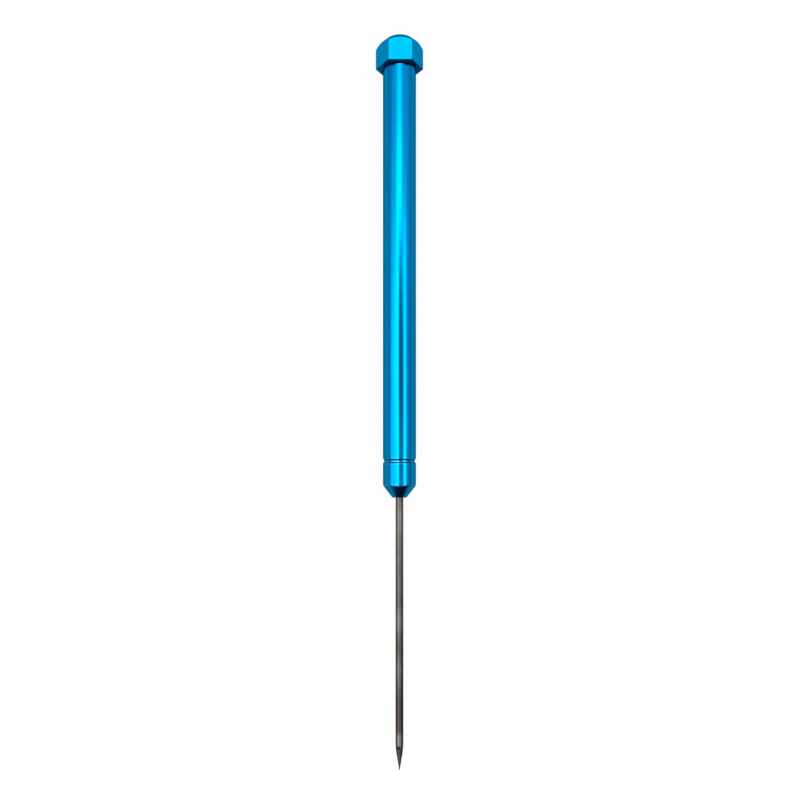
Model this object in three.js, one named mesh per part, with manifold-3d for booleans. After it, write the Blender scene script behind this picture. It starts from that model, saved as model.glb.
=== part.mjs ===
// A soldering pick: a hollow anodised handle with a hexagonal end cap and, in its nose, a screw-down
// collet that grips a ground metal rod.
// Millimetres, +Z up. The tool lies along X on one flat of its cap, with its point towards +X, and
// the origin is on the bench below the middle of its length.
import * as THREE from 'three';
import { mergeVertices } from 'three/addons/utils/BufferGeometryUtils.js';
import Module from 'manifold-3d';

const wasm = await Module();
wasm.setup();

// End cap
const capAcrossFlats = 12.7;
const capLength = 8.8; // from the crown's flat to the shoulder
const crownFlatDiameter = 8.2;
const crownHeight = 2.95; // of the chamfer, at the hexagon's corners
const crownRimRadius = 0.8;
const capThreadLength = 5.6;

// Seal between the cap's shoulder and the barrel
const sealThickness = 0.4;
const sealInset = 0.33; // inside the barrel's rim

// Barrel
const barrelDiameter = 10.16;
const barrelLength = 119.65;
const barrelRearChamfer = 0.2;
const threadRunOut = 1.0; // plain length at the bottom of each tapped end

// Groove between the barrel and the nose nut
const grooveWidth = 0.6; // at its bottom, which is the chuck body's land
const grooveDepth = 0.36;
const rimWidth = 0.67; // of the faces that meet beside the land

// Threads, all alike
const threadPitch = 0.75;
const threadDepth = 0.46;
const threadCrest = 0.1; // flat on top of the ridge
const threadRoot = 0.12; // flat between two turns of it
const threadMargin = 0.1; // plain core at each end of it

// Nose nut
const noseLength = 10.9;
const noseConeLength = 3.9;
const noseTipWall = 0.85; // round the rod's hole, at the very front
const noseWall = 1.5; // in front of the collet seat

// Collet
const colletTailLength = 9.2;
const colletTailWall = 1.0;
const colletHeadStep = 0.9; // from the tail out to the head
const colletHeadLand = 0.6; // length of the head's cylinder
const colletFrontWall = 0.47;
const colletConeAngle = 25; // degrees from the axis
const colletGripLength = 7.5;
const colletSlotWidth = 0.5;
const colletRingLength = 3.45; // unslotted, at the rear
const chuckRearWall = 2.5; // behind the collet

// Rod
const rodDiameter = 2.4;
const rodLength = 123;
const rodExposedLength = 83.8;
const rodRearChamfer = 0.25;
const pointLength = 8.1;
const pointShoulderLength = 2.2; // the first, slower part of the taper
const pointShoulderDiameter = 2.08;
const pointTipDiameter = 0.22;

// Fits
const threadClearance = 0.05; // radial
const boreClearance = 0.06; // radial, barrel's bore round the threads' core
const slidingClearance = 0.05; // radial, collet in its bore and seat
const gripClearance = 0.03; // radial, closed collet on the rod
const noseClearance = 0.15; // radial, rod through the nose
const rodPassage = 0.3; // radial, rod through the chuck body and the collet's tail
const seatGap = 0.02; // between faces that are screwed together
const colletHeadGap = 0.3; // from the collet's head to the chuck body

// Facets
const sides = 36; // a multiple of six, so that they meet the hexagon's corners
const arcSteps = 4;

// Radii
const barrelRadius = barrelDiameter / 2;
const grooveRadius = barrelRadius - grooveDepth;
const tappedRadius = grooveRadius - rimWidth;
const threadRadius = tappedRadius - threadClearance;
const threadCore = threadRadius - threadDepth;
const barrelBore = threadCore + boreClearance;
const rodRadius = rodDiameter / 2;
const passageRadius = rodRadius + rodPassage;
const gripRadius = rodRadius + gripClearance;
const noseBore = rodRadius + noseClearance;
const noseTipRadius = noseBore + noseTipWall;
const colletTailRadius = passageRadius + colletTailWall;
const colletHeadRadius = colletTailRadius + colletHeadStep;
const colletFrontRadius = gripRadius + colletFrontWall;
const cornerRadius = capAcrossFlats / 2 / Math.cos(Math.PI / 6);

// Stations along the axis, from the crown's flat towards the point
const shoulder = capLength;
const barrelRear = shoulder + sealThickness + 2 * seatGap;
const barrelFront = barrelRear + barrelLength;
const noseRear = barrelFront + grooveWidth;
const noseFront = noseRear + noseLength;
const noseConeRear = noseFront - noseConeLength;
const rodTip = noseFront + rodExposedLength;
const rodRear = rodTip - rodLength;
const coneSlope = Math.tan(THREE.MathUtils.degToRad(colletConeAngle));
const coneLength = (colletHeadRadius - colletFrontRadius) / coneSlope;
const seatFront = noseFront - noseWall;
const seatRear = seatFront - coneLength;
const colletFront = seatFront - slidingClearance;
const colletConeRear = colletFront - coneLength;
const colletHeadRear = colletConeRear - colletHeadLand;
const colletRear = colletHeadRear - colletTailLength;
const chuckFront = colletHeadRear - colletHeadGap;
const socketRear = colletRear - seatGap;
const chuckRear = socketRear - chuckRearWall;

const blue = () => new THREE.MeshStandardMaterial({ color: 0x0a84c6, roughness: 0.28, metalness: 1 });
const steel = () => new THREE.MeshStandardMaterial({ color: 0xa9a9a6, roughness: 0.35, metalness: 1 });
const rodGrey = () => new THREE.MeshStandardMaterial({ color: 0x6b655e, roughness: 0.45, metalness: 1 });
const rubber = () => new THREE.MeshStandardMaterial({ color: 0x0c0e12, roughness: 0.7, metalness: 0 });

// Turns an outline of [radius, station] points about the axis. It starts and ends on the axis, or
// is closed on itself here when it has a bore.
function turned(outline) {
  const points = outline.map(([radius, station]) => new THREE.Vector2(radius, station));
  if (points[0].x > 0) points.push(points[0].clone());
  return new THREE.LatheGeometry(points, sides);
}

// An arc of [radius, station] points about a centre, between two angles from the radial direction.
function arc(centre, radius, from, to) {
  return Array.from({ length: arcSteps + 1 }, (_, i) => {
    const angle = from + ((to - from) * i) / arcSteps;
    return [centre[0] + radius * Math.cos(angle), centre[1] + radius * Math.sin(angle)];
  });
}

function solidOf(geometry) {
  const bare = geometry.clone();
  bare.deleteAttribute('normal');
  bare.deleteAttribute('uv');
  const merged = mergeVertices(bare);
  return new wasm.Manifold(new wasm.Mesh({
    numProp: 3,
    vertProperties: new Float32Array(merged.attributes.position.array),
    triVerts: new Uint32Array(merged.index.array),
  }));
}

function geometryOf(solid) {
  const mesh = solid.getMesh();
  const geometry = new THREE.BufferGeometry();
  geometry.setAttribute('position', new THREE.BufferAttribute(mesh.vertProperties, 3));
  geometry.setIndex(new THREE.BufferAttribute(mesh.triVerts, 1));
  const faceted = geometry.toNonIndexed();
  faceted.computeVertexNormals();
  return faceted;
}

// A turned piece that carries threads. A point marked 'thread' is at the core's radius, and the ridge
// winds from there to the next point. The mesh is made ring by ring, because its helical edges then
// share the corners of the plain rings at both ends.
function turnedWithThreads(outline) {
  const positions = [];
  const faces = [];

  const corner = (radius, station, step) => {
    const angle = (step / sides) * 2 * Math.PI;
    positions.push(radius * Math.sin(angle), station, radius * Math.cos(angle));
    return positions.length / 3 - 1;
  };
  const line = (count, radiusAt, stationAt) =>
    Array.from({ length: count }, (_, i) => corner(radiusAt(i), stationAt(i), i));
  const ring = ([radius, station]) => {
    const corners = line(sides, () => radius, () => station);
    return [...corners, corners[0]];
  };
  // the strip between a lower and an upper row of corners, seen from outside
  const strip = (lower, upper) => {
    for (let i = 0; i + 1 < lower.length; i += 1) {
      faces.push(lower[i], lower[i + 1], upper[i + 1], lower[i], upper[i + 1], upper[i]);
    }
  };
  const fan = (apex, rim) => {
    for (let i = 0; i + 1 < rim.length; i += 1) faces.push(apex, rim[i], rim[i + 1]);
  };

  const thread = (lower, upper, from, to) => {
    const width = threadPitch - threadRoot;
    const flank = (width - threadCrest) / 2;
    const room = to - from - width - 2 * threadMargin;
    const steps = Math.max(sides, Math.floor((room / threadPitch) * sides));
    const fade = sides / 2;
    const crest = (i) => threadCore + threadDepth * Math.min(1, i / fade, (steps - i) / fade);
    const along = (offset) => (i) => from + threadMargin + offset + (i / sides) * threadPitch;
    const rootStart = line(steps + 1, () => threadCore, along(0));
    const crestStart = line(steps + 1, crest, along(flank));
    const crestEnd = line(steps + 1, crest, along(flank + threadCrest));
    const rootEnd = line(steps + 1, () => threadCore, along(width));
    const edges = [rootStart, crestStart, crestEnd, rootEnd];
    strip(rootStart, crestStart);
    strip(crestStart, crestEnd);
    strip(crestEnd, rootEnd);
    strip(rootEnd.slice(0, steps + 1 - sides), rootStart.slice(sides));

    // the first turn meets the lower ring, and its own start closes the last cell
    strip(lower.slice(0, sides), rootStart.slice(0, sides));
    const first = [lower[sides - 1], lower[sides], ...edges.map((edge) => edge[0]), rootStart[sides]];
    fan(rootStart[sides - 1], first);

    // the last turn meets the upper ring, whose corners are numbered from the same angle
    const rim = Array.from({ length: sides + 1 }, (_, i) => upper[(steps + i) % sides]);
    strip(rootEnd.slice(steps + 1 - sides), rim.slice(1));
    const last = [rim[1], rim[0], ...edges.map((edge) => edge[steps]).reverse(), rootEnd[steps - sides]];
    fan(rootEnd[steps + 1 - sides], last);
  };

  const closed = outline[0][0] > 0;
  const rings = outline.map(ring);
  const count = closed ? outline.length : outline.length - 1;
  for (let i = 0; i < count; i += 1) {
    const next = (i + 1) % outline.length;
    if (outline[i][2] === 'thread') thread(rings[i], rings[next], outline[i][1], outline[next][1]);
    else strip(rings[i], rings[next]);
  }
  const geometry = new THREE.BufferGeometry();
  geometry.setAttribute('position', new THREE.Float32BufferAttribute(positions, 3));
  geometry.setIndex(faces);
  geometry.computeVertexNormals();
  return geometry;
}

// The cap: a hexagonal bar whose end is turned to a chamfered crown, with a threaded spigot.
function endCap() {
  const flat = crownFlatDiameter / 2;
  const slope = Math.atan2(crownHeight, cornerRadius - flat);
  const tangent = crownRimRadius * Math.tan(slope / 2);
  const past = 1.2 * cornerRadius;
  const pastStation = (past - flat) * Math.tan(slope);
  const crown = turned([
    [0, 0],
    ...arc([flat - tangent, crownRimRadius], crownRimRadius, -Math.PI / 2, slope - Math.PI / 2),
    [past, pastStation],
    [past, shoulder + pastStation],
    [0, shoulder + pastStation],
  ]);
  const bar = new THREE.CylinderGeometry(cornerRadius, cornerRadius, shoulder, 6, 1, false, Math.PI / 6);
  bar.translate(0, shoulder / 2, 0);
  const end = shoulder + 2 * seatGap + sealThickness + capThreadLength;
  const spigot = turnedWithThreads([
    [0, shoulder / 2],
    [threadCore, shoulder / 2],
    [threadCore, barrelRear, 'thread'],
    [threadCore, end - threadDepth],
    [threadCore - threadDepth, end],
    [0, end],
  ]);
  const head = solidOf(bar).intersect(solidOf(crown));
  return geometryOf(head.add(solidOf(spigot)));
}

// The seal: a flat rubber washer round the spigot, with a rounded rim.
function capSeal() {
  const half = sealThickness / 2;
  const middle = shoulder + seatGap + half;
  return turned([
    [tappedRadius, middle - half],
    ...arc([barrelRadius - sealInset - half, middle], half, -Math.PI / 2, Math.PI / 2),
    [tappedRadius, middle + half],
  ]);
}

// The barrel: a tube tapped at both ends, with a chamfer on each rim.
function barrel() {
  const rearTap = barrelRear + capThreadLength + threadRunOut;
  const frontTap = chuckRear - threadRunOut;
  const step = tappedRadius - barrelBore;
  return turned([
    [tappedRadius, barrelRear],
    [barrelRadius - barrelRearChamfer, barrelRear],
    [barrelRadius, barrelRear + barrelRearChamfer],
    [barrelRadius, barrelFront - grooveDepth],
    [grooveRadius, barrelFront],
    [tappedRadius, barrelFront],
    [tappedRadius, frontTap],
    [barrelBore, frontTap - step],
    [barrelBore, rearTap + step],
    [tappedRadius, rearTap],
  ]);
}

// The chuck body: a stub threaded at both ends, with the land that shows between them.
function chuckBody() {
  const socket = colletTailRadius + slidingClearance;
  return turnedWithThreads([
    [passageRadius, chuckRear],
    [threadCore - threadDepth, chuckRear],
    [threadCore, chuckRear + threadDepth, 'thread'],
    [threadCore, barrelFront],
    [grooveRadius, barrelFront],
    [grooveRadius, noseRear - seatGap],
    [threadCore, noseRear - seatGap, 'thread'],
    [threadCore, chuckFront - threadDepth / 2],
    [threadCore - threadDepth / 2, chuckFront],
    [socket, chuckFront],
    [socket, socketRear],
    [passageRadius, socketRear],
  ]);
}

// The collet: a tail, a conical head and four slots that let its jaws close.
function collet() {
  const gripRear = colletFront - colletGripLength;
  const blank = turned([
    [passageRadius, colletRear],
    [colletTailRadius, colletRear],
    [colletTailRadius, colletHeadRear],
    [colletHeadRadius, colletHeadRear],
    [colletHeadRadius, colletConeRear],
    [colletFrontRadius, colletFront],
    [gripRadius, colletFront],
    [gripRadius, gripRear],
    [passageRadius, gripRear - (passageRadius - gripRadius)],
  ]);
  const slotRear = colletRear + colletRingLength;
  const slotLength = seatFront - slotRear;
  const slot = new THREE.BoxGeometry(colletSlotWidth, slotLength, 3 * colletHeadRadius);
  slot.translate(0, slotRear + slotLength / 2, 0);
  slot.rotateY(Math.PI / 4);
  const crossSlot = slot.clone().rotateY(Math.PI / 2);
  return geometryOf(solidOf(blank).subtract(solidOf(slot)).subtract(solidOf(crossSlot)));
}

// The nose nut: threaded over the chuck body, with the collet's seat inside its cone.
function noseNut() {
  const threadEnd = colletHeadRear + slidingClearance;
  const seatRadius = colletHeadRadius + slidingClearance;
  return turned([
    [tappedRadius, noseRear],
    [grooveRadius, noseRear],
    [barrelRadius, noseRear + grooveDepth],
    [barrelRadius, noseConeRear],
    [noseTipRadius, noseFront],
    [noseBore, noseFront],
    [noseBore, seatFront],
    [colletFrontRadius + slidingClearance, seatFront],
    [seatRadius, seatRear],
    [seatRadius, threadEnd],
    [tappedRadius, threadEnd],
  ]);
}

// The rod: plain round stock, ground by hand to a slim point.
function pickRod() {
  const pointRear = rodTip - pointLength;
  const tip = pointTipDiameter / 2;
  return turned([
    [0, rodRear],
    [rodRadius - rodRearChamfer, rodRear],
    [rodRadius, rodRear + rodRearChamfer],
    [rodRadius, pointRear],
    [pointShoulderDiameter / 2, pointRear + pointShoulderLength],
    [tip, rodTip - tip],
    [tip / 2, rodTip],
    [0, rodTip],
  ]);
}

// The tool's own axis is Y, which the group lays along X.
const tool = new THREE.Group();
tool.rotation.z = -Math.PI / 2;
tool.position.set(-rodTip / 2, 0, capAcrossFlats / 2);

function addPiece(name, geometry, material) {
  const mesh = new THREE.Mesh(geometry, material);
  mesh.name = name;
  tool.add(mesh);
}

addPiece('barrel', barrel(), blue());
addPiece('chuck_body', chuckBody(), blue());
addPiece('collet', collet(), steel());
addPiece('nose_nut', noseNut(), blue());
addPiece('pick_rod', pickRod(), rodGrey());
addPiece('end_cap', endCap(), blue());
addPiece('cap_seal', capSeal(), rubber());

const solderingPick = new THREE.Group();
solderingPick.add(tool);

export default solderingPick;
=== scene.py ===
"""A soldering pick: a blue anodised handle with a hexagonal cap, and a ground rod in its nose."""

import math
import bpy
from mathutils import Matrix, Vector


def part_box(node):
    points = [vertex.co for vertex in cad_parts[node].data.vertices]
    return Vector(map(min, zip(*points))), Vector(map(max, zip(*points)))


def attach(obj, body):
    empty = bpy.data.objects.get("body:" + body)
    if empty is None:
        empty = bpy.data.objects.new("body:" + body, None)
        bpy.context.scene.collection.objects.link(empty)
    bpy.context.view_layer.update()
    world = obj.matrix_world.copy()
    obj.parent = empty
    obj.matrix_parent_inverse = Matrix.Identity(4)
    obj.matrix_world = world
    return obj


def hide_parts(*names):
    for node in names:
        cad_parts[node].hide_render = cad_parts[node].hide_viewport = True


bl_info = {
    "name": "Soldering pick",
    "version": (1, 0, 0),
    "blender": (4, 5, 0),
    "location": "3D View > Sidebar > Soldering pick",
    "description": "Models the pieces of a soldering pick and lights them on a white bench",
    "category": "Object",
}

import bmesh
import bpy
from bpy.props import FloatProperty, FloatVectorProperty, IntProperty, PointerProperty

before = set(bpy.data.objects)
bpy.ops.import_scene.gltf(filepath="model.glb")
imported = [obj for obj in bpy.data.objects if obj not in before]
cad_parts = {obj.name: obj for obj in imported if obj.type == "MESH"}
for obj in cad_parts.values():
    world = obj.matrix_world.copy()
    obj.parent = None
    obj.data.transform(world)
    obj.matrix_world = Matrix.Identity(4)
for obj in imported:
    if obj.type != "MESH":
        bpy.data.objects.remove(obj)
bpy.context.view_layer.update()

MM = 0.001
WHITE = (1, 1, 1)

# Corners that are nearer to each other than this are one corner.
WELD_DISTANCE = 1e-7

# Edges sharper than the first angle get broken, and edges flatter than the second look smooth.
SHARP_ANGLE = math.radians(28)
SMOOTH_ANGLE = math.radians(24)

# The width of a broken edge, and the height of the fine marks in a surface.
BROKEN_EDGE = 0.04 * MM
MARK_HEIGHT = 0.02 * MM

# Lighter and darker stretches of the rod: where each starts and ends along the tool and how soft
# its ends are, in millimetres, and how much lighter it is.
ROD_STRETCHES = (
    (31, 43, 5, 0.12),
    (62, 69, 4, 0.45),
    (79, 83, 3, 0.25),
    (87, 97, 4, -0.15),
)

# The bench's width in metres.
BENCH_WIDTH = 6

# The width of the camera's film in millimetres, which is also the length of its lens.
FILM_WIDTH = 36


def ends(node):
    """The lowest and highest X of a CAD node."""
    lowest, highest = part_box(node)
    return lowest.x, highest.x


def radius_of(node):
    """The outer radius of a turned CAD node."""
    lowest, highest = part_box(node)
    return (highest.y - lowest.y) / 2


# The height of the tool's axis above the bench.
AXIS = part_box("barrel")[0].z + radius_of("barrel")


# Sizes and colours that a user would change


def length(name, description, millimetres):
    """A length property whose default is given in millimetres."""
    return FloatProperty(
        name=name, description=description, default=millimetres * MM, unit="LENGTH", precision=5)


def colour(name, description, red, green, blue):
    """A colour property, in linear light."""
    return FloatVectorProperty(
        name=name, description=description, default=(red, green, blue),
        subtype="COLOR", min=0, max=1)


class HandleSizes(bpy.types.PropertyGroup):
    """Sizes of the barrel, the chuck body, the nose nut and the collet's seat."""

    groove_depth: length("Groove depth", "Depth of the groove between barrel and nose", 0.36)
    groove_slope: length("Groove slope", "Length of each sloping side of the groove", 0.42)
    rear_chamfer: length("Rear chamfer", "Chamfer on the barrel's rear rim", 0.12)
    tapped_radius: length("Tapped radius", "Radius of the tapped holes", 4.05)
    bore_radius: length("Bore radius", "Radius of the barrel's plain bore", 3.6)
    rear_tap: length("Rear tap", "Depth of the tapped hole at the cap", 6.6)
    front_tap: length("Front tap", "Depth of the tapped hole at the nose", 7.016)
    socket_radius: length("Socket radius", "Radius of the collet's socket in the chuck body", 2.55)
    socket_wall: length("Socket wall", "Thickness of the chuck body behind the collet", 2.5)
    passage_radius: length("Passage radius", "Radius of the rod's way through the chuck body", 1.5)
    cone_length: length("Cone length", "Length of the nose's cone", 3.72)
    cone_shoulder: length("Cone shoulder", "Rounding where the nose's cone starts", 0.3)
    nose_wall: length("Nose wall", "Thickness of the nose in front of the collet's seat", 1.5)
    nose_bore: length("Nose bore", "Radius of the rod's hole in the nose", 1.35)
    tip_radius: length("Tip radius", "Radius of the nose's front face", 2.2)
    seat_clearance: length("Seat clearance", "Gap between the collet and its seat", 0.05)
    collet_front: length("Collet front", "Radius of the collet's front face", 1.7)
    collet_cone: length("Collet cone", "Length of the collet's cone", 3.646)


class ThreadSizes(bpy.types.PropertyGroup):
    """Sizes of the screw threads, which are all alike."""

    pitch: length("Pitch", "Distance from one turn to the next", 0.75)
    radius: length("Radius", "Outer radius of the thread", 4.0)
    depth: length("Depth", "Height of the ridge above the core", 0.46)
    crest: length("Crest", "Flat on top of the ridge", 0.1)
    root: length("Root", "Flat between two turns of the ridge", 0.12)


class CapSizes(bpy.types.PropertyGroup):
    """Sizes of the end cap and its seal."""

    crown_flat: length("Crown flat", "Diameter of the flat on the crown", 8.2)
    crown_height: length("Crown height", "Height of the crown's chamfer at the corners", 2.95)
    crown_rim: length("Crown rim", "Rounding where the crown's flat ends", 0.8)
    edge: length("Edge", "Width of the broken edges across the cap", 0.09)
    long_edge: length("Long edge", "Width of the broken edges along the cap", 0.2)
    head_length: length("Head length", "Length of the hexagon, from crown to shoulder", 8.8)


class RodSizes(bpy.types.PropertyGroup):
    """Sizes of the rod and its ground point."""

    rear_chamfer: length("Rear chamfer", "Chamfer on the rod's hidden end", 0.25)
    point_length: length("Point length", "Length that is ground", 8.1)
    shoulder_length: length("Shoulder length", "Length of the slower first part of the point", 2.2)
    shoulder_radius: length("Shoulder radius", "Radius where that first part ends", 1.04)
    tip_radius: length("Tip radius", "Radius of the point's end", 0.11)
    nick_from_tip: length("Nick from tip", "Distance of the small nick from the point's end", 6.95)
    nick_aside: length("Nick aside", "Distance of the nick's middle from the axis, sideways", -0.42)
    nick_length: length("Nick length", "Length of the nick across the rod", 1.25)
    nick_radius: length("Nick radius", "Radius of the wheel edge that left the nick", 0.34)
    nick_depth: length("Nick depth", "Depth of the nick", 0.22)


class Finishes(bpy.types.PropertyGroup):
    """Colours of the metals and the rubber, and how smooth the curves are."""

    blue: colour("Anodised blue", "Colour of the handle", 0.0, 0.37, 0.82)
    # Paler blue along the rims: partly wear and partly a painted highlight.
    blue_worn: colour("Worn blue", "Colour of the handle along its edges", 0.04, 0.47, 0.86)
    blue_green: colour("Greener blue", "Colour that the blue drifts to in places", 0.0, 0.405, 0.76)
    # Painted shade: the darker blue of the groove's slopes and the cap's front face.
    blue_cut: colour(
        "Blue in the cut", "Colour of the groove's slopes and the cap's front face", 0.0, 0.18, 0.4)
    # Painted shade, nearly black, for the corner between the cap and the barrel.
    grime: colour(
        "Grime", "Colour of what has gathered between the cap and the barrel", 0.0, 0.004, 0.085)
    blue_edge: colour(
        "Blue at the edge", "Colour of the handle's reflections at a grazing angle", 0.0, 0.62, 0.7)
    rod: colour("Rod", "Colour of the drawn rod", 0.168, 0.16, 0.162)
    rod_brown: colour("Rod brown", "Colour of the rod where heat browned it", 0.105, 0.082, 0.07)
    ground: colour("Ground metal", "Colour of the rod where grinding starts", 0.24, 0.232, 0.226)
    point: colour("Point", "Colour of the ground point", 0.155, 0.16, 0.146)
    nick: colour("Nick", "Colour of the small nick in the point", 0.02, 0.018, 0.015)
    steel: colour("Collet steel", "Colour of the collet", 0.56, 0.55, 0.53)
    rubber: colour("Seal", "Colour of the seal", 0.0015, 0.002, 0.006)
    sides: IntProperty(name="Sides", description="Sides of the round pieces", default=144, min=36)


class StageSettings(bpy.types.PropertyGroup):
    """The bench, the camera and the light."""

    camera_along: length("Camera along", "Place of the camera along the tool", 17.1)
    camera_aside: length("Camera aside", "Place of the camera beside the tool's axis", -11.2)
    camera_height: length("Camera height", "Height of the camera above the tool's axis", 246)
    shift_x: FloatProperty(
        name="Shift X", description="Sideways shift of the picture", default=0.0462)
    shift_y: FloatProperty(
        name="Shift Y", description="Upward shift of the picture", default=0.0763)
    bench: colour("Bench", "Colour of the bench", 0.95, 0.95, 0.95)
    bench_in_metal: colour(
        "Bench in metal", "Colour of the bench as the metal reflects it", 0.55, 0.55, 0.55)
    bench_white: FloatProperty(
        name="White bench", description="How far the bench shows as plain white",
        default=0.94, min=0, max=1)
    lamp: FloatProperty(
        name="Lamp", description="Brightness of the long lights above the tool", default=2.85)
    lamp_colour: colour("Lamp colour", "Colour of the long lights", 1.0, 1.0, 0.8)
    room: FloatProperty(
        name="Room", description="Brightness of the room round the lights", default=0.45)


# Modelling in edit mode


def deselect_everything():
    bpy.ops.object.select_all(action="DESELECT")


def work_on(piece):
    """Makes a piece the only selected and active object."""
    deselect_everything()
    piece.select_set(True)
    bpy.context.view_layer.objects.active = piece


def select_edges(piece, wanted):
    """In edit mode, selects the edges whose two ends pass the test."""
    bpy.ops.mesh.select_mode(type="EDGE")
    bpy.ops.mesh.select_all(action="DESELECT")
    mesh = bmesh.from_edit_mesh(piece.data)
    for edge in mesh.edges:
        edge.select_set(wanted(*(corner.co for corner in edge.verts)))
    bmesh.update_edit_mesh(piece.data)


def put_in_order(piece):
    """In edit mode, puts edges and faces in the order of their corners. Extruding leaves them in
    another order each run, and what a boolean makes of them depends on it."""
    mesh = bmesh.from_edit_mesh(piece.data)
    mesh.verts.index_update()
    for parts in (mesh.edges, mesh.faces):
        ranked = sorted(parts, key=lambda part: sorted(corner.index for corner in part.verts))
        for rank, part in enumerate(ranked):
            part.index = rank
        parts.sort()
    bmesh.update_edit_mesh(piece.data)


def from_axis(point):
    """Distance of a point from the tool's axis."""
    return math.hypot(point.y, point.z - AXIS)


def turned(name, outline, closed):
    """A turned piece. Its first ring is extruded along an outline of (x, radius) points. A piece
    with a bore is closed on that ring again, and a solid one gets a flat face at each end."""
    sides = bpy.context.scene.pick_finishes.sides
    x, radius = outline[0]
    deselect_everything()
    bpy.ops.mesh.primitive_circle_add(
        vertices=sides, radius=radius, fill_type="NOTHING" if closed else "NGON",
        location=(x, 0, AXIS), rotation=(0, math.pi / 2, 0))
    piece = bpy.context.object
    piece.name = name
    bpy.ops.object.transform_apply(location=True, rotation=True, scale=True)
    bpy.ops.object.mode_set(mode="EDIT")
    bpy.ops.mesh.select_all(action="SELECT")
    stops = outline[1:] + outline[:1] if closed else outline[1:]
    for next_x, next_radius in stops:
        growth = next_radius / radius
        bpy.ops.mesh.extrude_region_move(TRANSFORM_OT_translate={"value": (next_x - x, 0, 0)})
        bpy.ops.transform.resize(value=(1, growth, growth), center_override=(next_x, 0, AXIS))
        x, radius = next_x, next_radius
    bpy.ops.mesh.select_all(action="SELECT")
    bpy.ops.mesh.remove_doubles(threshold=WELD_DISTANCE)
    bpy.ops.mesh.normals_make_consistent(inside=False)
    put_in_order(piece)
    bpy.ops.object.mode_set(mode="OBJECT")
    return piece


def round_ring(piece, x, radius, width, segments=5):
    """Rounds the ring of edges of a turned piece at that place."""
    near = 0.01 * MM

    def on_ring(*corners):
        return all(
            abs(corner.x - x) < near and abs(from_axis(corner) - radius) < near
            for corner in corners)

    work_on(piece)
    bpy.ops.object.mode_set(mode="EDIT")
    select_edges(piece, on_ring)
    bpy.ops.mesh.bevel(offset=width, segments=segments, profile=0.5, affect="EDGES")
    bpy.ops.object.mode_set(mode="OBJECT")


def break_edges(piece, width, segments=3):
    """Rounds every sharp edge of a piece a little."""
    work_on(piece)
    bevel = piece.modifiers.new("Broken edges", "BEVEL")
    bevel.width = width
    bevel.segments = segments
    bevel.limit_method = "ANGLE"
    bevel.angle_limit = SHARP_ANGLE
    bpy.ops.object.modifier_apply(modifier=bevel.name)


def combine(piece, tool, operation):
    """Adds another closed piece to this one, cuts it out or keeps the overlap, and removes it. Then
    welds the corners that this leaves in almost the same place, so that the piece stays closed."""
    work_on(piece)
    boolean = piece.modifiers.new("Combine", "BOOLEAN")
    boolean.operation = operation
    boolean.solver = "EXACT"
    boolean.object = tool
    bpy.ops.object.modifier_apply(modifier=boolean.name)
    bpy.data.objects.remove(tool)
    bpy.ops.object.mode_set(mode="EDIT")
    bpy.ops.mesh.select_all(action="SELECT")
    bpy.ops.mesh.remove_doubles(threshold=WELD_DISTANCE)
    bpy.ops.object.mode_set(mode="OBJECT")


def turn_round(piece, angle):
    """Turns a piece round the tool's axis."""
    work_on(piece)
    bpy.ops.object.mode_set(mode="EDIT")
    bpy.ops.mesh.select_all(action="SELECT")
    bpy.ops.transform.rotate(value=angle, orient_axis="X", center_override=(0, 0, AXIS))
    bpy.ops.object.mode_set(mode="OBJECT")


def thread_ridge(start, end):
    """The ridge of a male thread, sunk a little in its core and trimmed at 45 degrees. It is turned
    by parts of a side, so that none of its edges meets an edge of the sleeve or of the core."""
    threads = bpy.context.scene.pick_threads
    sides = bpy.context.scene.pick_finishes.sides
    core = threads.radius - threads.depth
    sunk = 0.06 * MM
    spare_turns = 2
    width = threads.pitch - threads.root
    deselect_everything()
    bpy.ops.mesh.primitive_plane_add(size=1, location=(start - threads.pitch, 0, AXIS))
    ridge = bpy.context.object
    bpy.ops.object.mode_set(mode="EDIT")
    bpy.ops.transform.resize(value=(width, threads.depth + sunk, 1), center_override=ridge.location)
    select_edges(ridge, lambda *corners: all(corner.y > 0 for corner in corners))
    bpy.ops.transform.resize(value=(threads.crest / width, 1, 1), center_override=ridge.location)
    bpy.ops.mesh.select_all(action="SELECT")
    bpy.ops.transform.translate(value=(0, core + (threads.depth - sunk) / 2, 0))
    bpy.ops.object.mode_set(mode="OBJECT")
    screw = ridge.modifiers.new("Turns", "SCREW")
    screw.axis = "X"
    screw.angle = math.tau
    screw.screw_offset = threads.pitch
    screw.iterations = math.ceil((end - start) / threads.pitch) + spare_turns
    screw.steps = screw.render_steps = sides
    bpy.ops.object.modifier_apply(modifier=screw.name)
    bpy.ops.object.mode_set(mode="EDIT")
    bpy.ops.mesh.select_all(action="SELECT")
    bpy.ops.mesh.fill_holes(sides=4)
    bpy.ops.mesh.normals_make_consistent(inside=False)
    bpy.ops.object.mode_set(mode="OBJECT")
    bpy.ops.object.transform_apply(location=True, rotation=True, scale=True)
    turn_round(ridge, math.tau / sides / 2)
    over = threads.radius + sunk
    slope = threads.depth + 2 * sunk
    sleeve = turned("sleeve", [
        (start, core - sunk),
        (start + slope, over),
        (end - slope, over),
        (end, core - sunk),
    ], closed=False)
    combine(ridge, sleeve, "INTERSECT")
    turn_round(ridge, math.tau / sides / 4)
    return ridge


def finished(piece, body, node, slot):
    """Smooths a piece, gives it its finish and lets it stand for its CAD node."""
    work_on(piece)
    bpy.ops.object.shade_smooth_by_angle(angle=SMOOTH_ANGLE)
    flat_faces_first = piece.modifiers.new("Normals", "WEIGHTED_NORMAL")
    flat_faces_first.keep_sharp = True
    bpy.ops.object.modifier_apply(modifier=flat_faces_first.name)
    piece.data.materials.clear()
    piece.data.materials.append(finish_of(slot))
    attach(piece, body)
    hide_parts(node)


# Shader maths


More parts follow.
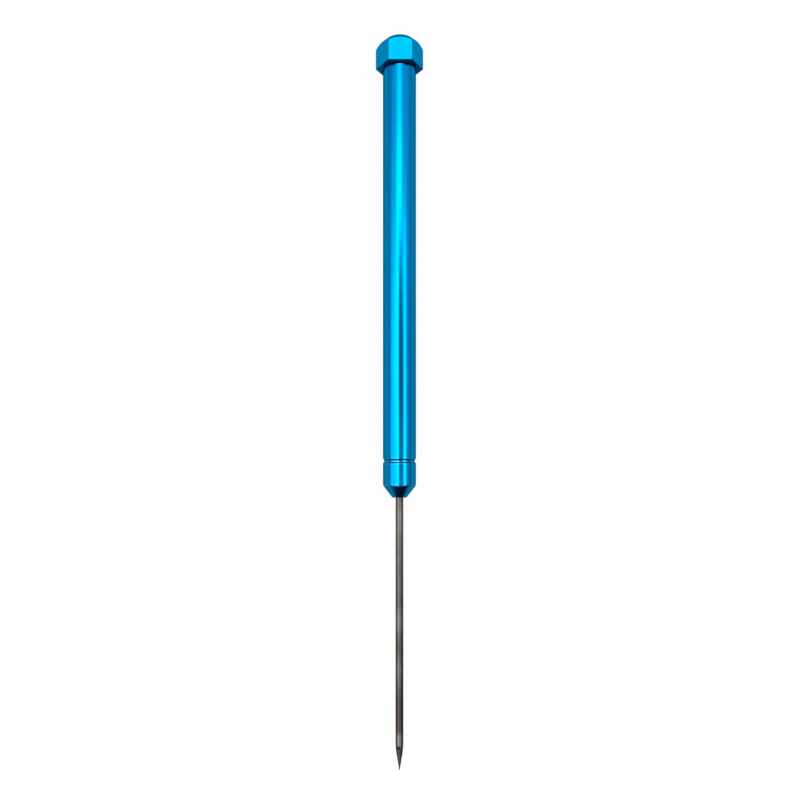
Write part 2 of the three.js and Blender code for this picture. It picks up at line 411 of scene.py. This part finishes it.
class Wire:
    """A shader socket. Arithmetic on it adds Math nodes, and add() puts in any other node."""

    def __init__(self, tree, socket=None):
        self.tree = tree
        self.socket = socket

    def add(self, kind, settings, sockets, output=0):
        """Adds a node: first its settings, then the values or links of its sockets."""
        node = self.tree.nodes.new(kind)
        for name, value in settings.items():
            setattr(node, name, value)
        for key, value in sockets.items():
            if isinstance(value, Wire):
                self.tree.links.new(value.socket, node.inputs[key])
            elif node.inputs[key].type == "RGBA":
                node.inputs[key].default_value = (*value, 1)
            else:
                node.inputs[key].default_value = value
        return Wire(self.tree, node.outputs[output] if node.outputs else None)

    def maths(self, operation, *values):
        return self.add("ShaderNodeMath", {"operation": operation}, dict(enumerate(values)))

    def __add__(self, other):
        return self.maths("ADD", self, other)

    def __sub__(self, other):
        return self.maths("SUBTRACT", self, other)

    def __mul__(self, other):
        return self.maths("MULTIPLY", self, other)

    def __rsub__(self, other):
        return self.maths("SUBTRACT", other, self)

    def __neg__(self):
        return self.maths("MULTIPLY", self, -1)

    def __abs__(self):
        return self.maths("ABSOLUTE", self)

    __radd__ = __add__
    __rmul__ = __mul__

    def rise(self, low, high):
        """0 below low, 1 above high, and smooth between them."""
        return self.add(
            "ShaderNodeMapRange", {"interpolation_type": "SMOOTHSTEP"},
            {"Value": self, "From Min": low, "From Max": high})

    def fall(self, low, high):
        """1 below low, 0 above high, and smooth between them."""
        return 1 - self.rise(low, high)

    def window(self, low, high, soft):
        """1 between two values and 0 outside them, with soft edges."""
        half = soft / 2
        return self.rise(low - half, low + half) * self.fall(high - half, high + half)

    def paint(self, under, over):
        """Goes from one number to another as this value goes from 0 to 1."""
        return under + (over - under) * self

    def part(self, number):
        """One component of a vector."""
        return self.add("ShaderNodeSeparateXYZ", {}, {0: self}, number)

    def blend(self, first, second):
        """Goes from one colour to another as this value goes from 0 to 1."""
        return self.add("ShaderNodeMix", {"data_type": "RGBA"}, {0: self, 6: first, 7: second}, 2)

    def times(self, tint):
        """A colour multiplied by this value."""
        return self.add("ShaderNodeVectorMath", {"operation": "SCALE"}, {0: tint, "Scale": self})


def toned(tint, factor, lift=0):
    """A colour made darker or lighter by a factor, and then paler by the lift."""
    return tuple(factor * part + lift for part in tint)


def new_material(name):
    """An empty node material, a wire to add its nodes with, and the Object coordinates."""
    material = bpy.data.materials.new(name)
    material.use_nodes = True
    material.node_tree.nodes.clear()
    wire = Wire(material.node_tree)
    return material, wire, wire.add("ShaderNodeTexCoord", {}, {}, "Object")


def shown(wire, shader):
    """Connects a shader to the material's output."""
    wire.add("ShaderNodeOutputMaterial", {}, {"Surface": shader})


def surfaced(wire, marks, strength, sockets):
    """Shows a Principled shader that has fine marks in its surface."""
    bump = wire.add(
        "ShaderNodeBump", {}, {"Strength": strength, "Distance": MARK_HEIGHT, "Height": marks})
    shown(wire, wire.add("ShaderNodeBsdfPrincipled", {}, {**sockets, "Normal": bump}))


def noise(wire, position, scales, detail):
    """Noise stretched by a scale for each axis, in features per metre."""
    place = wire.add("ShaderNodeVectorMath", {"operation": "MULTIPLY"}, {0: position, 1: scales})
    return wire.add("ShaderNodeTexNoise", {}, {"Vector": place, "Scale": 1, "Detail": detail})


def anodised_blue():
    """Turned aluminium, polished and anodised bright blue, with painted shade in the groove and
    under the cap, and painted highlights on its rims.
    """
    finishes = bpy.context.scene.pick_finishes
    handle = bpy.context.scene.pick_handle
    material, wire, position = new_material("anodised_blue")
    x = position.part(0)
    turning = noise(wire, position, (5200, 60, 60), detail=4)
    clouds = noise(wire, position, (90, 240, 240), detail=3)
    specks = noise(wire, position, (2600, 2600, 2600), detail=2)
    drift = noise(wire, position, (60, 190, 190), detail=2)

    # A slightly uneven blue with pale rubbed specks.
    deep = toned(finishes.blue, 0.86)
    pale = toned(finishes.blue, 0.82, lift=0.02)
    drifted = drift.rise(0.42, 0.68).blend(finishes.blue, finishes.blue_green)
    base = ((clouds - 0.3) * 0.9).blend(deep, drifted)
    base = (specks.rise(0.68, 0.78) * 0.25).blend(base, pale)

    # Painted shade on the cap's front face, and a darker, matt painted shade, nearly black, in the
    # corner where the barrel starts.
    shoulder = ends("cap_seal")[0]
    cap_face_shade = x.window(shoulder - 0.03 * MM, shoulder + 0.2 * MM, 0.05 * MM)
    grime = cap_face_shade * abs(position.part(1)).fall(4.9 * MM, 5.3 * MM)
    base = cap_face_shade.blend(base, finishes.blue_cut)

    barrel_rear, barrel_front = ends("barrel")
    nose_rear, nose_front = ends("nose_nut")
    cone = nose_front - handle.cone_length
    slope = handle.groove_slope

    def band(place, start, end):
        """Marks a band whose ends are given in millimetres from a place along the tool."""
        return x.window(place + start * MM, place + end * MM, 0.1 * MM)

    # Painted shade on the groove's two slopes, and pale rims of the barrel and the nose, which are
    # partly wear and partly a painted highlight.
    groove_shade = band(barrel_front - slope, 0.07, slope / MM + 0.14) + band(nose_rear, 0, slope / MM)
    base = groove_shade.blend(base, finishes.blue_cut)
    # The pale rims are partly wear and partly a painted highlight along the edges.
    worn_and_highlit = band(barrel_front - slope, -0.2, 0.05) + band(nose_rear, -0.25, 0)
    worn_and_highlit = worn_and_highlit + band(nose_rear + slope, 0, 0.25) + band(cone, -0.35, 0.05)
    worn_and_highlit = worn_and_highlit + band(barrel_rear, -0.1, 0.3)
    base = (worn_and_highlit * 0.8).blend(base, finishes.blue_worn)
    # In the corner the painted shade is matt and not metal.
    surfaced(wire, turning, 0.12, {
        "Base Color": grime.blend(base, finishes.grime),
        "Metallic": 1 - grime,
        "Roughness": 0.11 + turning * 0.06 + clouds * 0.03 + grime * 0.5,
        "Specular IOR Level": 0,
        "Specular Tint": finishes.blue_edge,
    })
    return material


def drawn_rod():
    """A drawn rod, browned by heat and streaked lengthwise, with a ground point."""
    finishes = bpy.context.scene.pick_finishes
    rod = bpy.context.scene.pick_rod
    material, wire, position = new_material("drawn_rod")
    x = position.part(0)
    nose = ends("nose_nut")[1]
    tip = ends("pick_rod")[1]
    streaks = noise(wire, position, (70, 5200, 5200), detail=4)
    mottle = noise(wire, position, (420, 900, 900), detail=3)
    patches = noise(wire, position, (110, 500, 500), detail=2)
    grinding = noise(wire, position, (7000, 500, 500), detail=3)

    # Browned in patches, and most of all at the nose and behind the point.
    at_nose = x.fall(nose, nose + 5 * MM)
    behind_point = x.window(tip - 24 * MM, tip - 11 * MM, 7 * MM)
    brown = patches.rise(0.42, 0.7) * 0.5 + mottle.rise(0.45, 0.75) * 0.35 - 0.1
    brown = brown + x.rise(52 * MM, 66 * MM) * 0.3
    brown = brown + at_nose * patches.rise(0.35, 0.6) * 0.6 + behind_point * 0.45
    shade = (streaks - 0.5) * 0.9 + 1
    for start, end, soft, lighter in ROD_STRETCHES:
        shade = shade + x.window(start * MM, end * MM, soft * MM) * lighter
    drawn = shade.times(brown.blend(finishes.rod, finishes.rod_brown))

    # Ground bright at first and duller towards the tip, with a dark nick.
    point_start = tip - rod.point_length
    nick_place = tip - rod.nick_from_tip
    ground = x.rise(point_start - 4.4 * MM, point_start - 2.2 * MM)
    point = x.rise(nick_place, nick_place + 0.5 * MM)
    base = ground.blend(drawn, point.blend(finishes.ground, finishes.point))
    half = rod.nick_length / 2
    nick = x.window(nick_place - 0.3 * MM, nick_place + 0.3 * MM, 0.1 * MM)
    nick = nick * position.part(1).window(rod.nick_aside - half, rod.nick_aside + half, 0.1 * MM)
    nick = nick * position.part(2).rise(AXIS, AXIS + 0.3 * MM)
    surfaced(wire, (1 - ground) * streaks + ground * grinding, 0.2, {
        "Base Color": nick.blend(base, finishes.nick),
        "Metallic": 1,
        "Roughness": 0.09 + streaks * 0.06 + mottle * 0.05 - ground * 0.075 + point * 0.215,
    })
    return material


def turned_steel():
    """Plain turned steel, as the collet's."""
    material, wire, position = new_material("turned_steel")
    turning = noise(wire, position, (6000, 80, 80), detail=4)
    stains = noise(wire, position, (400, 400, 400), detail=4)
    steel = bpy.context.scene.pick_finishes.steel
    surfaced(wire, turning, 0.35, {
        "Base Color": stains.rise(0.3, 0.75).blend(steel, toned(steel, 0.6)),
        "Metallic": 1,
        "Roughness": 0.22 + turning * 0.15,
    })
    return material


def black_rubber():
    """Matt black rubber with a fine moulded grain."""
    material, wire, position = new_material("black_rubber")
    grain = noise(wire, position, (9000, 9000, 9000), detail=3)
    dust = noise(wire, position, (1500, 1500, 1500), detail=3)
    rubber = bpy.context.scene.pick_finishes.rubber
    surfaced(wire, grain, 0.4, {
        "Base Color": dust.rise(0.5, 0.8).blend(rubber, toned(rubber, 2.2)),
        "Roughness": 0.55 + grain * 0.25,
        "Specular IOR Level": 0.1,
    })
    return material


SLOT_FINISHES = {
    "handle_blue": anodised_blue,
    "rod_metal": drawn_rod,
    "collet_steel": turned_steel,
    "seal_rubber": black_rubber,
}


def finish_of(slot):
    """The material for a slot of the record, made the first time that it is asked for."""
    maker = SLOT_FINISHES[slot]
    return bpy.data.materials.get(maker.__name__) or maker()


# The pieces


class TurnBarrel(bpy.types.Operator):
    """Turn the long tube, tapped at both ends, with a chamfer on each rim"""

    bl_idname = "pick.turn_barrel"
    bl_label = "Barrel"

    def execute(self, context):
        handle = context.scene.pick_handle
        rear, front = ends("barrel")
        outer = radius_of("barrel")
        step = handle.tapped_radius - handle.bore_radius
        rear_tap = rear + handle.rear_tap
        front_tap = front - handle.front_tap
        piece = turned("handle_barrel", [
            (rear, handle.tapped_radius),
            (rear, outer - handle.rear_chamfer),
            (rear + handle.rear_chamfer, outer),
            (front - handle.groove_slope, outer),
            (front, outer - handle.groove_depth),
            (front, handle.tapped_radius),
            (front_tap, handle.tapped_radius),
            (front_tap - step, handle.bore_radius),
            (rear_tap + step, handle.bore_radius),
            (rear_tap, handle.tapped_radius),
        ], closed=True)
        break_edges(piece, BROKEN_EDGE)
        finished(piece, "handle", "barrel", "handle_blue")
        return {"FINISHED"}


class TurnChuckBody(bpy.types.Operator):
    """Turn the threaded stub that joins barrel and nose, with the land that shows in the groove"""

    bl_idname = "pick.turn_chuck_body"
    bl_label = "Chuck body"

    def execute(self, context):
        handle = context.scene.pick_handle
        threads = context.scene.pick_threads
        rear, front = ends("chuck_body")
        land_rear = ends("barrel")[1]
        land_front = ends("nose_nut")[0]
        core = threads.radius - threads.depth
        socket_rear = rear + handle.socket_wall
        face_gap = 0.02 * MM
        thread_gap = 0.1 * MM
        piece = turned("chuck_stub", [
            (rear, handle.passage_radius),
            (rear, core - threads.depth),
            (rear + threads.depth, core),
            (land_rear, core),
            (land_rear, radius_of("chuck_body")),
            (land_front - face_gap, radius_of("chuck_body")),
            (land_front - face_gap, core),
            (front - threads.depth / 2, core),
            (front, core - threads.depth / 2),
            (front, handle.socket_radius),
            (socket_rear, handle.socket_radius),
            (socket_rear, handle.passage_radius),
        ], closed=True)
        for start, end in (
                (rear + threads.depth / 2, land_rear - thread_gap),
                (land_front - face_gap + thread_gap, front - threads.depth / 4)):
            combine(piece, thread_ridge(start, end), "UNION")
        finished(piece, "handle", "chuck_body", "handle_blue")
        return {"FINISHED"}


class TurnNoseNut(bpy.types.Operator):
    """Turn the nose with its cone, its tapped hole and the collet's seat"""

    bl_idname = "pick.turn_nose_nut"
    bl_label = "Nose nut"

    def execute(self, context):
        handle = context.scene.pick_handle
        rear, front = ends("nose_nut")
        outer = radius_of("nose_nut")
        cone_rear = front - handle.cone_length
        seat_front = front - handle.nose_wall
        seat_rear = seat_front - handle.collet_cone
        seat_radius = radius_of("collet") + handle.seat_clearance
        head_room = 0.6 * MM
        thread_end = seat_rear - head_room
        tip_rounding = 0.12 * MM
        piece = turned("screwed_nose", [
            (rear, handle.tapped_radius),
            (rear, outer - handle.groove_depth),
            (rear + handle.groove_slope, outer),
            (cone_rear, outer),
            (front, handle.tip_radius),
            (front, handle.nose_bore),
            (seat_front, handle.nose_bore),
            (seat_front, handle.collet_front + handle.seat_clearance),
            (seat_rear, seat_radius),
            (thread_end, seat_radius),
            (thread_end, handle.tapped_radius),
        ], closed=True)
        round_ring(piece, cone_rear, outer, handle.cone_shoulder)
        round_ring(piece, front, handle.tip_radius, tip_rounding)
        break_edges(piece, BROKEN_EDGE)
        finished(piece, "nose_nut", "nose_nut", "handle_blue")
        return {"FINISHED"}


class GrindRod(bpy.types.Operator):
    """Cut the rod from round stock and grind its point, with the small nick that the wheel left"""

    bl_idname = "pick.grind_rod"
    bl_label = "Rod"

    def execute(self, context):
        rod = context.scene.pick_rod
        rear, tip = ends("pick_rod")
        radius = radius_of("pick_rod")
        point = tip - rod.point_length
        shoulder_rounding = 0.5 * MM
        wheel_tilt = 0.3
        piece = turned("ground_rod", [
            (rear, radius - rod.rear_chamfer),
            (rear + rod.rear_chamfer, radius),
            (point, radius),
            (point + rod.shoulder_length, rod.shoulder_radius),
            (tip - rod.tip_radius, rod.tip_radius),
            (tip, rod.tip_radius / 2),
        ], closed=False)
        round_ring(piece, point + rod.shoulder_length, rod.shoulder_radius, shoulder_rounding)
        x = tip - rod.nick_from_tip
        surface = AXIS + math.sqrt(radius ** 2 - rod.nick_aside ** 2)
        bpy.ops.mesh.primitive_cylinder_add(
            vertices=32, radius=rod.nick_radius, depth=rod.nick_length,
            location=(x, rod.nick_aside, surface + rod.nick_radius - rod.nick_depth),
            rotation=(math.pi / 2 + wheel_tilt, 0, 0))
        combine(piece, bpy.context.object, "DIFFERENCE")
        finished(piece, "pick", "pick_rod", "rod_metal")
        return {"FINISHED"}


class MakeEndCap(bpy.types.Operator):
    """Cut the hexagonal cap, turn its crown and screw its threaded spigot on"""

    bl_idname = "pick.make_end_cap"
    bl_label = "End cap"

    def execute(self, context):
        cap = context.scene.pick_cap
        threads = context.scene.pick_threads
        rear, front = ends("end_cap")
        corner = radius_of("end_cap")
        shoulder = rear + cap.head_length
        overlap = 1 * MM
        deselect_everything()
        bpy.ops.mesh.primitive_cylinder_add(
            vertices=6, radius=corner, depth=cap.head_length + overlap,
            location=((rear - overlap + shoulder) / 2, 0, AXIS), rotation=(0, math.pi / 2, 0))
        piece = bpy.context.object
        piece.name = "hexagonal_cap"
        bpy.ops.object.transform_apply(location=True, rotation=True, scale=True)
        bpy.ops.object.mode_set(mode="EDIT")
        select_edges(piece, lambda start, end: abs(end.x - start.x) > 0.9 * (end - start).length)
        bpy.ops.mesh.bevel(offset=cap.long_edge, segments=4, profile=0.5, affect="EDGES")
        bpy.ops.object.mode_set(mode="OBJECT")
        flat = cap.crown_flat / 2
        slope = cap.crown_height / (corner - flat)
        wide = 1.3 * corner
        crown = turned("crown", [
            (rear, flat),
            (rear + (wide - flat) * slope, wide),
            (shoulder + overlap + (wide - flat) * slope, wide),
        ], closed=False)
        rim = cap.crown_rim * math.tan(math.atan(slope) / 2) * 2
        round_ring(crown, rear, flat, rim, segments=6)
        combine(piece, crown, "INTERSECT")
        break_edges(piece, cap.edge)
        core = threads.radius - threads.depth
        spigot = turned("spigot", [
            (shoulder - overlap, core),
            (front - threads.depth, core),
            (front, core - threads.depth),
        ], closed=False)
        combine(piece, spigot, "UNION")
        seal_front = ends("cap_seal")[1]
        combine(piece, thread_ridge(seal_front, front - threads.depth / 2), "UNION")
        finished(piece, "end_cap", "end_cap", "handle_blue")
        return {"FINISHED"}


class MouldSeal(bpy.types.Operator):
    """Mould the rubber ring between the cap and the barrel"""

    bl_idname = "pick.mould_seal"
    bl_label = "Seal"

    def execute(self, context):
        rear, front = ends("cap_seal")
        outer = radius_of("cap_seal")
        inner = context.scene.pick_handle.tapped_radius
        piece = turned("rubber_seal", [
            (rear, inner),
            (rear, outer),
            (front, outer),
            (front, inner),
        ], closed=True)
        nearly_half = 0.99 * (front - rear) / 2
        for x in (rear, front):
            round_ring(piece, x, outer, nearly_half)
        finished(piece, "seal", "cap_seal", "seal_rubber")
        return {"FINISHED"}


class FinishCollet(bpy.types.Operator):
    """Give the slotted collet, which stays as it is, its steel"""

    bl_idname = "pick.finish_collet"
    bl_label = "Collet"

    def execute(self, context):
        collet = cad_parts["collet"]
        collet.data.materials.clear()
        collet.data.materials.append(finish_of("collet_steel"))
        return {"FINISHED"}


# The bench, the camera and the light


def lay_bench(settings):
    """A white bench that keeps a faint shadow. In the metal it looks greyer, and darker towards the
    point, where less light falls on it."""
    deselect_everything()
    bpy.ops.mesh.primitive_plane_add(size=BENCH_WIDTH, location=(0, 0, 0))
    bench = bpy.context.object
    bench.name = "bench"
    material, wire, position = new_material("white_bench")
    camera_ray = wire.add("ShaderNodeLightPath", {}, {}, "Is Camera Ray")
    x = position.part(0)
    # Painted light and shade on the bench as the metal sees it: lighter near the cap, darker past
    # the cap's end and towards the point, and a painted shadow close beside the tool.
    painted_bench_light = 1 + x.fall(-112 * MM, -105 * MM) * 0.22 - x.fall(-137 * MM, -122 * MM) * 0.6
    painted_bench_light = painted_bench_light - x.rise(30 * MM, 100 * MM) * 0.68
    painted_bench_light = painted_bench_light * (0.9 + abs(position.part(1)).rise(8 * MM, 24 * MM) * 0.18)
    grey = painted_bench_light.times(tuple(settings.bench_in_metal))
    plain = wire.add("ShaderNodeBsdfDiffuse", {}, {"Color": camera_ray.blend(grey, settings.bench)})
    white = wire.add("ShaderNodeEmission", {}, {"Color": WHITE, "Strength": 1})
    shown(wire, wire.add(
        "ShaderNodeMixShader", {}, {0: camera_ray * settings.bench_white, 1: plain, 2: white}))
    bench.data.materials.append(material)


def studio_level(around, along, settings):
    """The brightness of the studio in each direction, given in degrees round the tool's axis from
    straight up, and in degrees along it towards the cap."""
    towards_cap = along.rise(10, 16)
    joined = along.rise(14.6, 17.2)
    low = along.fall(1, 4)
    cap_end = along.rise(18.5, 24)

    # The room, which is lighter at the right, with a dark strip beyond that.
    level = around.window(20, 62, 26).paint(settings.room, 0.74)
    level = (around.window(77, 87, 6) * along.fall(12, 15)).paint(level, 0.26)

    # The main light. It gets brighter from its left edge to its middle, and is weaker beyond that
    # except above the cap.
    brightest = 1 + along.rise(16, 18.2) * 0.14 - along.rise(20.5, 26) * 0.63
    brightest = (brightest + along.rise(26.3, 27.3) * 0.25) * settings.lamp
    shoulder = low * 0.35 + 1.3 - along.rise(15, 18) * 0.26 - along.rise(19, 26) * 0.32
    ramp_start = towards_cap * 27 + low * 24 + along.rise(15, 18) * 4 - 60
    ramp_end = towards_cap * 3 + low * 4 + along.rise(15, 18) * 1.5 + along.rise(18.5, 23) * 12 - 22
    ramp = around.add(
        "ShaderNodeMapRange", {}, {"Value": around, "From Min": ramp_start, "From Max": ramp_end})
    right_half = joined.paint(1.35 - along.fall(-9, -4) * 0.75, brightest)
    main = around.rise(-10, -6).paint(ramp.paint(shoulder, brightest), right_half)
    past_left = around - (towards_cap * 3.5 + cap_end * 6.5 - 66)
    left_soft = cap_end * 8 + 5
    past_right = around - (26 - joined * 9.5 - cap_end * 4.5)
    right_soft = joined * 4 + cap_end * 8 + 2.5
    lit = past_left.rise(-left_soft, left_soft) * past_right.fall(-right_soft, right_soft)
    level = lit.paint(level, main)

    # The narrow light at its right, and the room beside that, which is darker towards the point.
    strip = (around + along.rise(14, 17) * 2.5).window(25, 45.5, 4) * along.fall(15, 20)
    strip_level = 0.89 - along.rise(5, 12) * 0.12 + low * 0.1 - along.fall(-10, -1) * 0.5
    level = strip.paint(level, settings.lamp * strip_level)
    level = level * (1 - around.window(50, 90, 12) * along.fall(-4, -1) * 0.7)

    # The dark gap between the two lights, which closes towards the cap.
    past_left = around - (along.rise(9, 17) * 11 + along.fall(1, 6) * 4 - 8.5)
    past_right = around - (25 - along.rise(8, 18) * 21)
    gap = past_left.rise(-2, 2) * past_right.fall(-2, 2)
    return (gap * (1 - joined)).paint(level, along.fall(0, 3) * 0.3 + 0.2)


def hang_lights(settings):
    """The studio round the tool, painted on the world. Two long lights hang above the tool and join
    into one above its cap, the room is darker in front of its point, and the camera sees white."""
    world = bpy.data.worlds.new("studio")
    bpy.context.scene.world = world
    world.use_nodes = True
    world.node_tree.nodes.clear()
    wire = Wire(world.node_tree)
    camera_ray = wire.add("ShaderNodeLightPath", {}, {}, "Is Camera Ray")
    direction = wire.add("ShaderNodeTexCoord", {}, {}, "Generated")
    degrees = 180 / math.pi
    around = wire.maths("ARCTAN2", direction.part(1), direction.part(2)) * degrees
    along = wire.maths("ARCSINE", direction.part(0)) * -degrees

    # In front of the point the room gets dark, and nearly black straight ahead.
    dark = (along - abs(around) * 0.1).fall(-69.5, -64)
    level = studio_level(around, along, settings) * (along.rise(-24, 2) * 0.3 + 0.7)
    level = level * (along.rise(-26, -20) * 0.6 + along.fall(-50, -40) * 0.35 + 0.4)
    level = level * (1 - dark * 0.98)

    # Weak light is bluish, and what is left of it straight ahead is violet.
    bluish = (1, 0.97, 1.22)
    violet = (0.7, 0.35, 2)
    light = level.rise(0.3, 1.1).blend(bluish, WHITE)
    light = level.rise(0.8, 2.2).blend(light, settings.lamp_colour)
    light = dark.blend(light, violet)
    background = wire.add("ShaderNodeBackground", {}, {
        "Color": camera_ray.blend(light, WHITE),
        "Strength": camera_ray.paint(level, 1),
    })
    wire.add("ShaderNodeOutputWorld", {}, {"Surface": background})


def place_camera(settings):
    """A camera that looks straight down, with the tool's point towards the picture's lower edge."""
    camera = bpy.data.objects.new("camera", bpy.data.cameras.new("camera"))
    bpy.context.scene.collection.objects.link(camera)
    camera.location = (settings.camera_along, settings.camera_aside, AXIS + settings.camera_height)
    camera.rotation_euler = (0, 0, math.pi / 2)
    camera.data.sensor_width = FILM_WIDTH
    camera.data.lens = FILM_WIDTH
    camera.data.shift_x = settings.shift_x
    camera.data.shift_y = settings.shift_y
    camera.data.clip_start = 10 * MM
    bpy.context.scene.camera = camera


class SetStage(bpy.types.Operator):
    """Lay the bench, hang the lights and place the camera"""

    bl_idname = "pick.set_stage"
    bl_label = "Stage"

    def execute(self, context):
        settings = context.scene.pick_stage
        lay_bench(settings)
        hang_lights(settings)
        place_camera(settings)
        context.scene.view_settings.view_transform = "Standard"
        return {"FINISHED"}


MAKERS = (
    TurnBarrel, TurnChuckBody, TurnNoseNut, GrindRod, MakeEndCap, MouldSeal, FinishCollet, SetStage)


class PickPanel(bpy.types.Panel):
    """Makes the pieces of the pick one by one, and holds their sizes and colours"""

    bl_idname = "VIEW3D_PT_soldering_pick"
    bl_label = "Soldering pick"
    bl_space_type = "VIEW_3D"
    bl_region_type = "UI"
    bl_category = "Soldering pick"

    def draw(self, context):
        column = self.layout.column()
        for maker in MAKERS:
            column.operator(maker.bl_idname)
        for name, group in GROUPS.items():
            box = self.layout.box()
            for value in group.__annotations__:
                box.prop(getattr(context.scene, name), value)


GROUPS = {
    "pick_handle": HandleSizes,
    "pick_threads": ThreadSizes,
    "pick_cap": CapSizes,
    "pick_rod": RodSizes,
    "pick_finishes": Finishes,
    "pick_stage": StageSettings,
}


def register():
    for group in GROUPS.values():
        bpy.utils.register_class(group)
    for name, group in GROUPS.items():
        setattr(bpy.types.Scene, name, PointerProperty(type=group))
    for maker in MAKERS:
        bpy.utils.register_class(maker)
    bpy.utils.register_class(PickPanel)


def unregister():
    bpy.utils.unregister_class(PickPanel)
    for maker in reversed(MAKERS):
        bpy.utils.unregister_class(maker)
    for name in GROUPS:
        delattr(bpy.types.Scene, name)
    for group in reversed(GROUPS.values()):
        bpy.utils.unregister_class(group)


def main():
    register()
    bpy.ops.pick.turn_barrel()
    bpy.ops.pick.turn_chuck_body()
    bpy.ops.pick.turn_nose_nut()
    bpy.ops.pick.grind_rod()
    bpy.ops.pick.make_end_cap()
    bpy.ops.pick.mould_seal()
    bpy.ops.pick.finish_collet()
    bpy.ops.pick.set_stage()
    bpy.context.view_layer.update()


if __name__ == "__main__":
    main()
